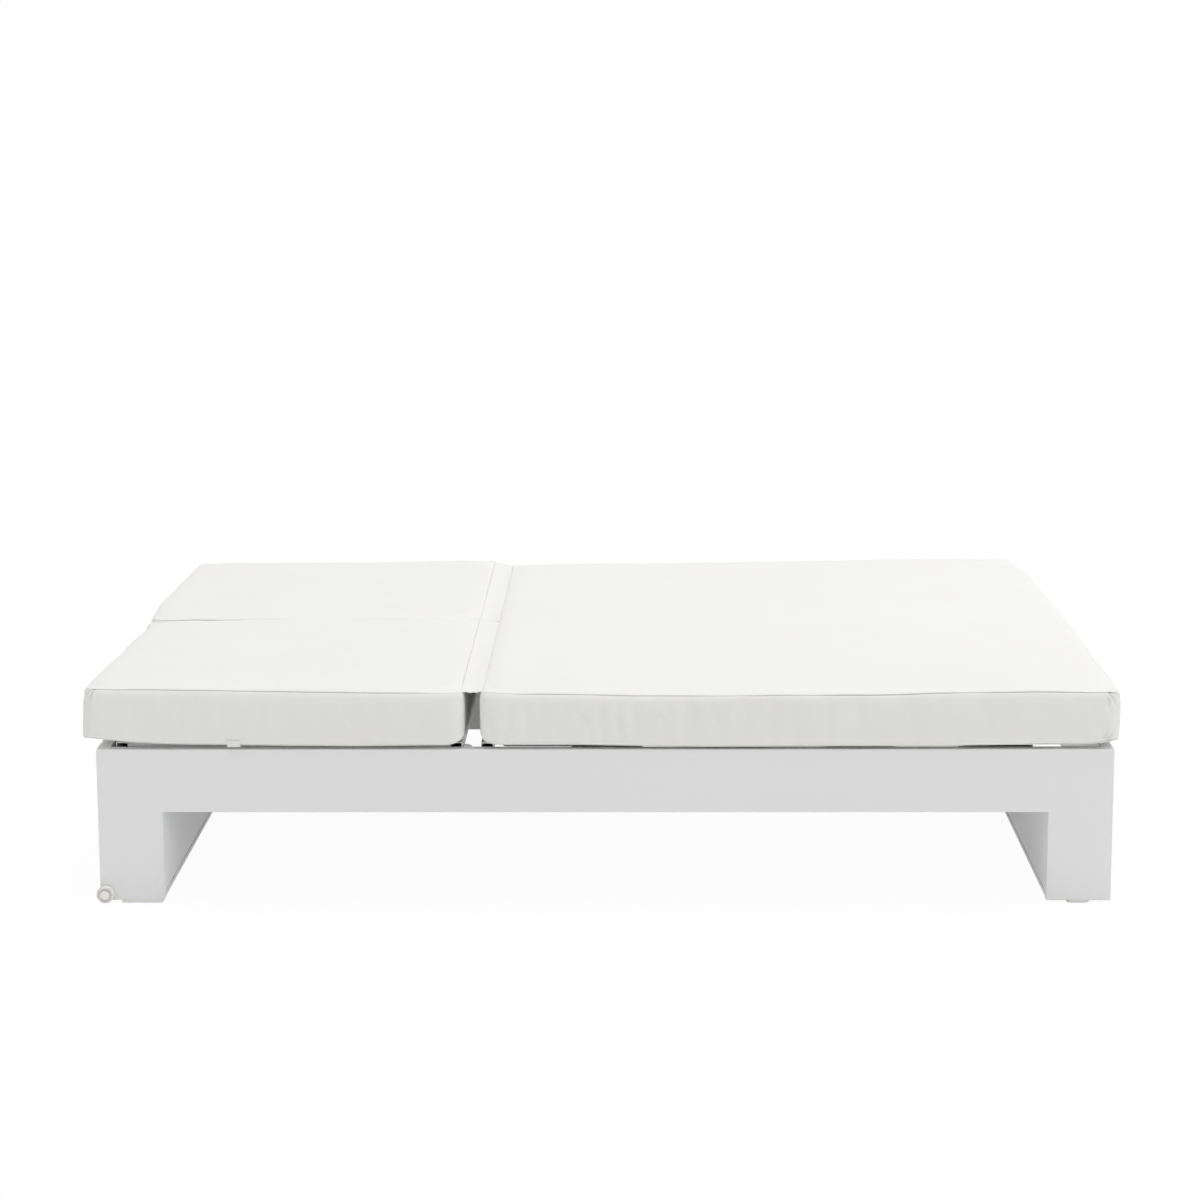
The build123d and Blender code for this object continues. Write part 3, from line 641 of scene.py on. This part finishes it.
# What the words of a cushion's form mean, in metres where nothing else is said:
# outline: how many millimetres the free end lies inside its plain line, at equal steps from near to far edge
# tilt: how many millimetres further in that end lies at the top, and further out at the foot
# hinge_end, split: +1 or -1 for the end along X at the hinge, and for the side along Y at the split
# folds: see corner_folds
# wrinkles: middle and reach along X of the zone where they are deeper, and how much deeper
# lifts: corner's place along X and Y, its rise and reach in millimetres
# hem: places along X, and how many millimetres it hangs there
# sags: start and end along X, and how many millimetres
near_cushion = make_cushion(
    "near_backrest_cushion",
    "near_back_cushion",
    "near_cushion",
    BACK_CELL,
    {
        "lies": NEAR_LIES,
        "outline": (1.2, -0.3, 0.2, 3.2, 7.9, 8.5, 10.5, 16.7, 10),
        "tilt": 3.0,
        "hinge_end": 1,
        "split": 1,
        "folds": [((near_low.x + 0.028, near_low.y + 0.003, SEAM_HEIGHT), -1, -1, 3.0, 42, 5)],
        "wrinkles": (-0.6, 0.2, 0.3),
        "lifts": [
            (near_low.x, near_low.y, 11, 80),
            (near_low.x, near_low.y, 5, 200),
            (near_low.x, -0.001, 4, 60),
        ],
        "hem": ((-0.75, 0), (-0.60, 1.2), (-0.49, 2.0), (-0.42, 1.2), (-0.33, 0)),
        "sags": [],
        "seed": 1,
    },
)
far_cushion = make_cushion(
    "far_backrest_cushion",
    "far_back_cushion",
    "far_cushion",
    BACK_CELL,
    {
        "lies": FAR_LIES,
        "outline": (15.5, 9.8, 4, 6, 9.1, 10, 12.7, 15.3, 18.7),
        "tilt": 1.0,
        "hinge_end": 1,
        "split": -1,
        "folds": [((near_low.x + 0.028, -near_low.y - 0.003, SEAM_HEIGHT), -1, -1, 2.4, 34, 5)],
        "wrinkles": (-0.6, 0.2, 0.3),
        "lifts": [(near_low.x, -near_low.y, 12, 70), (near_low.x, 0.001, 4, 60)],
        "hem": ((-0.75, 0), (-0.50, 1.5), (-0.33, 0)),
        "sags": [],
        "seed": 4,
    },
)
seat_pad = make_cushion(
    "seat_pad",
    "seat_cushion",
    "frame",
    SEAT_CELL,
    {
        "lies": SEAT_LIES,
        "outline": (1.3, -0.9, 3.4, 1.7, 3.5, 7.5, 13, 21.3, 39),
        "tilt": -0.6,
        "hinge_end": -1,
        "split": 0,
        "folds": [
            ((seat_high.x - 0.031, seat_low.y + 0.003, SEAM_HEIGHT), 1, -1, 2.8, 40, 6),
            ((seat_high.x - 0.034, seat_low.y + 0.003, DECK_TOP), 1, 1, 2.6, 30, 6),
            ((seat_high.x - 0.040, -seat_low.y - 0.003, SEAM_HEIGHT), 1, -1, 2.4, 36, 5),
            ((seat_low.x + 0.030, seat_low.y + 0.003, DECK_TOP), -1, 1, 1.4, 28, 4),
        ],
        "wrinkles": (0.05, 0.30, 2.4),
        "lifts": [(seat_high.x, seat_low.y, 11, 34), (seat_high.x, -seat_low.y, 10, 40)],
        "hem": (
            (-0.06, 0),
            (0.03, 1.5),
            (0.10, 3.0),
            (0.20, 4.6),
            (0.33, 4.4),
            (0.46, 3.4),
            (0.60, 3.4),
            (0.67, 3.6),
            (0.72, 1.6),
            (0.83, 0),
            (0.95, -2),
        ),
        "sags": [(-0.202, -0.046, 6.3), (0.316, 0.446, 6.3), (0.560, 0.716, 6.3)],
        "seed": 7,
    },
)

# ------------------------------------------------------------------ flaps between the cushions


def surface_under(piece, x, y):
    # Height of a cushion's top at a place, smoothed along the flap
    bpy.context.view_layer.update()
    heights = []
    for spot in y:
        hit, place, *_ = piece.ray_cast(Vector((x, spot, 1)), Vector((0, 0, -1)))
        heights.append(place.z if hit else np.nan)
    heights = np.array(heights)
    known = ~np.isnan(heights)
    heights = np.interp(y, y[known], heights[known])
    padded = np.pad(heights, 4, mode="edge")
    return np.convolve(padded, np.ones(9) / 9, mode="valid")


def make_flap(side_name, side):
    # Strip of cover cloth sewn along the edge of both cushions, across the hinge between them
    back = near_cushion if side < 0 else far_cushion
    back_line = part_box(f"{side_name}_back_cushion")[1].x - BACK_HINGE_INSET
    seat_line = seat_low.x + SEAT_HINGE_INSET
    lap = 5 * MM
    low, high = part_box(f"{side_name}_cushion_flap")
    x_back, x_seat = back_line - lap, seat_line + lap
    ends = sorted((side * 4 * MM, high.y if side > 0 else low.y))
    deselect_all()
    bpy.ops.mesh.primitive_grid_add(x_subdivisions=30, y_subdivisions=180, size=1)
    flap = bpy.context.object
    flap.name = flap.data.name = f"{side_name}_fold_flap"
    flap.scale = (x_seat - x_back, ends[1] - ends[0], 1)
    flap.location = ((x_back + x_seat) / 2, (ends[0] + ends[1]) / 2, high.z)
    apply_place()
    lay_cloth(flap)
    co = points(flap)
    rows = np.unique(co[:, 1].round(6))
    on_back = np.interp(co[:, 1], rows, surface_under(back, x_back + MM, rows))
    on_seat = np.interp(co[:, 1], rows, surface_under(seat_pad, x_seat - MM, rows))
    # Laid from one cushion to the other, with a shallow wavy sag between them
    u = np.clip((co[:, 0] - x_back) / (x_seat - x_back), 0, 1)
    arch = np.sin(np.pi * u)
    co[:, 2] = on_back * (1 - u) + on_seat * u + 0.5 * MM
    co[:, 2] -= (0.9 * MM + 0.6 * MM * np.sin(co[:, 1] * 13 + 0.6)) * arch**0.8
    co[:, 2] += ripples(co * np.array([1, 0.35, 1]), 60.0, 12 + side) * 0.5 * MM * arch
    # Puckers where the two flaps meet, and a scalloped hem at the free end
    co[:, 2] -= np.exp(-(((np.abs(co[:, 1]) - 0.006) / 0.025) ** 2)) * 1.6 * MM * arch
    free_end = np.exp(-((np.abs(co[:, 1] - (ends[0] if side < 0 else ends[1])) / 0.008) ** 2))
    co[:, 2] -= free_end * arch * (0.8 + 0.7 * np.sin(u * 19)) * MM
    # Both sewn edges are pressed flat on the cushions
    co[:, 2] -= 0.2 * MM * (np.exp(-u / 0.03) + np.exp(-(1 - u) / 0.03))
    set_points(flap, co)
    wall = flap.modifiers.new("cloth", "SOLIDIFY")
    wall.thickness = 0.6 * MM
    wall.offset = 0
    finish_modifiers(flap)
    bpy.ops.object.shade_smooth()
    flap.data.materials.clear()
    flap.data.materials.append(FINISHES["cushion_fabric"])
    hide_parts(f"{side_name}_cushion_flap")
    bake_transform(flap)


for side_name, side in SIDES:
    make_flap(side_name, side)

# ------------------------------------------------------------------ strap tabs


def make_tab(side_name, side):
    # A length of tape folded in half and sewn into the bottom seam
    low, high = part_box(f"{side_name}_cushion_strap")
    low.x, high.x = low.x + 4 * MM, high.x + 2 * MM
    high.z -= 6 * MM
    width = high.x - low.x
    deselect_all()
    bpy.ops.mesh.primitive_grid_add(x_subdivisions=14, y_subdivisions=24, size=1)
    tab = bpy.context.object
    tab.name = tab.data.name = f"{side_name}_strap_tab"
    tab.scale = (width, 2 * (high.z - low.z) - 0.004, 1)
    apply_place()
    co = points(tab)
    length = co[:, 1].max() - co[:, 1].min()
    run = co[:, 1] - co[:, 1].min()
    bend = 0.9 * MM
    straight = (length - math.pi * bend) / 2
    angle = np.clip((run - straight) / bend, 0, math.pi)
    back_up = np.clip(run - straight - math.pi * bend, 0, None)
    down = np.minimum(run, straight) + bend * np.sin(angle) - back_up
    out = bend * (1 - np.cos(angle))
    outer = low.y if side < 0 else high.y
    sideways = outer - side * (2 * bend - out)
    shape = np.stack([co[:, 0] + (low.x + high.x) / 2, sideways, high.z - down], axis=1)
    shape[:, 1] += side * 0.5 * MM * np.sin((shape[:, 0] - low.x) / width * math.pi) * ease(down / 0.01)
    set_points(tab, shape)
    wall = tab.modifiers.new("tape", "SOLIDIFY")
    wall.thickness = 0.7 * MM
    wall.offset = 0
    finish_modifiers(tab)
    bpy.ops.object.mode_set(mode="EDIT")
    bpy.ops.mesh.select_all(action="SELECT")
    bpy.ops.mesh.normals_make_consistent(inside=False)
    bpy.ops.object.mode_set(mode="OBJECT")
    bpy.ops.object.shade_smooth()
    tab.data.materials.clear()
    tab.data.materials.append(FINISHES["fabric_tape"])
    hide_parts(f"{side_name}_cushion_strap")
    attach(tab, f"{side_name}_cushion")


for side_name, side in SIDES:
    make_tab(side_name, side)

# ------------------------------------------------------------------ floor, light, camera


def looked_at(tree):
    # 1 for a ray that the camera sees: straight, in a reflection or through something
    ray = add(tree, "ShaderNodeLightPath")
    greatest = ray.outputs["Is Camera Ray"]
    for kind in ("Is Glossy Ray", "Is Transmission Ray"):
        both = add(tree, "ShaderNodeMath", {"_operation": "MAXIMUM"}, n0=greatest, n1=ray.outputs[kind])
        greatest = both.outputs[0]
    return greatest


def flat_white(name, shade, glow):
    # Pale studio surface: full shading for the object's light, mostly glow where the camera looks at it
    finish = bpy.data.materials.new(name)
    finish.use_nodes = True
    tree = finish.node_tree
    tree.nodes.clear()
    real = add(tree, "ShaderNodeBsdfDiffuse", {"Color": (0.95, 0.95, 0.945, 1)})
    thin = add(tree, "ShaderNodeBsdfDiffuse", {"Color": (shade, shade, shade, 1)})
    light = add(tree, "ShaderNodeEmission", {"Color": (1, 1, 1, 1), "Strength": glow})
    both = add(tree, "ShaderNodeAddShader", n0=thin.outputs[0], n1=light.outputs[0])
    mix = add(tree, "ShaderNodeMixShader", n0=looked_at(tree), n1=real.outputs[0], n2=both.outputs[0])
    add(tree, "ShaderNodeOutputMaterial", Surface=mix.outputs[0])
    return finish


deselect_all()
bpy.ops.mesh.primitive_plane_add(size=400, location=(0, 0, 0))
floor = bpy.context.object
floor.name = "studio_floor"
floor.data.materials.append(flat_white("matt_studio_floor", shade=0.045, glow=0.955))

world = bpy.data.worlds.new("studio")
bpy.context.scene.world = world
world.use_nodes = True
tree = world.node_tree
tree.nodes.clear()
soft_light = add(tree, "ShaderNodeBackground", {"Color": (1, 1, 1, 1), "Strength": 0.49})
white = add(tree, "ShaderNodeBackground", {"Color": (1, 1, 1, 1), "Strength": 1.0})
mix = add(tree, "ShaderNodeMixShader", n0=looked_at(tree), n1=soft_light.outputs[0], n2=white.outputs[0])
add(tree, "ShaderNodeOutputWorld", Surface=mix.outputs[0])


def add_sun(name, direction, strength, spread):
    # Broad distant light; direction is the way it shines, spread its width in degrees
    deselect_all()
    bpy.ops.object.light_add(type="SUN")
    sun = bpy.context.object
    sun.name = name
    sun.data.energy = strength
    sun.data.angle = math.radians(spread)
    sun.rotation_euler = Vector(direction).to_track_quat("-Z", "Y").to_euler()


add_sun("overhead_softbox", (-0.10, 0.02, -1.0), 1.38, 50)
add_sun("right_softbox", (-0.92, 0.34, -0.20), 0.27, 12)
deselect_all()
bpy.ops.object.light_add(type="AREA", location=(1.5, 0.2, 3.0))
foot_end_light = bpy.context.object
foot_end_light.name = "foot_end_softbox"
foot_end_light.data.shape = "DISK"
foot_end_light.data.size = 1.4
foot_end_light.data.energy = 8

# Camera: solved from the frame's corners, leg bottoms and far cushion edges in the 1200 by 1200 picture
CAMERA_AT = Vector((0.0765, -6.5868, 1.6734))
YAW, PITCH, ROLL = -0.01313, 0.18021, -0.00333
FOCAL_PIXELS, PICTURE_PIXELS = 3050.4, 1200
SENSOR_WIDTH = 36

ahead = Vector((math.sin(YAW) * math.cos(PITCH), math.cos(YAW) * math.cos(PITCH), -math.sin(PITCH)))
level_right = Vector((math.cos(YAW), -math.sin(YAW), 0))
level_up = level_right.cross(ahead)
right = math.cos(ROLL) * level_right + math.sin(ROLL) * level_up
up = -math.sin(ROLL) * level_right + math.cos(ROLL) * level_up
deselect_all()
bpy.ops.object.camera_add()
camera = bpy.context.object
camera.name = "photo_camera"
turn = Matrix((right, up, -ahead)).transposed().to_4x4()
camera.matrix_world = Matrix.Translation(CAMERA_AT) @ turn
camera.data.sensor_width = SENSOR_WIDTH
camera.data.lens = SENSOR_WIDTH * FOCAL_PIXELS / PICTURE_PIXELS
camera.data.clip_end = 1000
bpy.context.scene.camera = camera
bpy.context.scene.view_settings.view_transform = "Standard"
